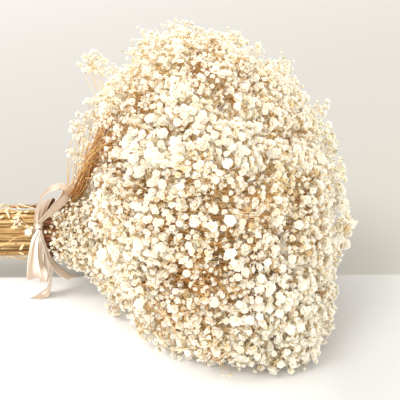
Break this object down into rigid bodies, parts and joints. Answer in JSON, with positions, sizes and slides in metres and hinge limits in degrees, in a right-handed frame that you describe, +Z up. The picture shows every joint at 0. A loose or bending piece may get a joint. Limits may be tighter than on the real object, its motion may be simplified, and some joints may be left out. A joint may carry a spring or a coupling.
{
  "type": "tied bunch of dried gypsophila",
  "caption": "Bunch of dried gypsophila on its side: straight woody stems tied with a satin bow, fanning out into a broad rounded head of tiny cream blossoms.",
  "frame": {"origin": "middle of the bounding box, on the surface that the bunch lies on", "axes": "+X along the stems from the cut ends to the tip of the head, +Z up from the surface, -Y towards the side with the ribbon's knot"},
  "size_m": [0.5202, 0.3918, 0.3105],
  "materials": {
    "dried_stem": "dry golden straw, finely ribbed along its length",
    "dried_blossom": "papery cream petals, matt and slightly translucent",
    "satin": "champagne satin with soft bright highlights"
  },
  "bodies": {
    "root": {"stem_01": "dried_stem", "blossoms_01": "dried_blossom", "stem_02": "dried_stem", "blossoms_02": "dried_blossom", "stem_03": "dried_stem", "blossoms_03": "dried_blossom", "stem_04": "dried_stem", "blossoms_04": "dried_blossom", "stem_05": "dried_stem", "blossoms_05": "dried_blossom", "stem_06": "dried_stem", "blossoms_06": "dried_blossom", "stem_07": "dried_stem", "blossoms_07": "dried_blossom", "stem_08": "dried_stem", "blossoms_08": "dried_blossom", "stem_09": "dried_stem", "blossoms_09": "dried_blossom", "stem_10": "dried_stem", "blossoms_10": "dried_blossom", "stem_11": "dried_stem", "blossoms_11": "dried_blossom", "stem_12": "dried_stem", "blossoms_12": "dried_blossom", "stem_13": "dried_stem", "blossoms_13": "dried_blossom", "stem_14": "dried_stem", "blossoms_14": "dried_blossom", "stem_15": "dried_stem", "blossoms_15": "dried_blossom", "stem_16": "dried_stem", "blossoms_16": "dried_blossom", "stem_17": "dried_stem", "blossoms_17": "dried_blossom", "stem_18": "dried_stem", "blossoms_18": "dried_blossom", "stem_19": "dried_stem", "blossoms_19": "dried_blossom", "stem_20": "dried_stem", "blossoms_20": "dried_blossom", "stem_21": "dried_stem", "blossoms_21": "dried_blossom", "stem_22": "dried_stem", "blossoms_22": "dried_blossom", "stem_23": "dried_stem", "blossoms_23": "dried_blossom", "stem_24": "dried_stem", "blossoms_24": "dried_blossom", "stem_25": "dried_stem", "blossoms_25": "dried_blossom", "satin_ribbon": "satin"}
  },
  "joints": []
}
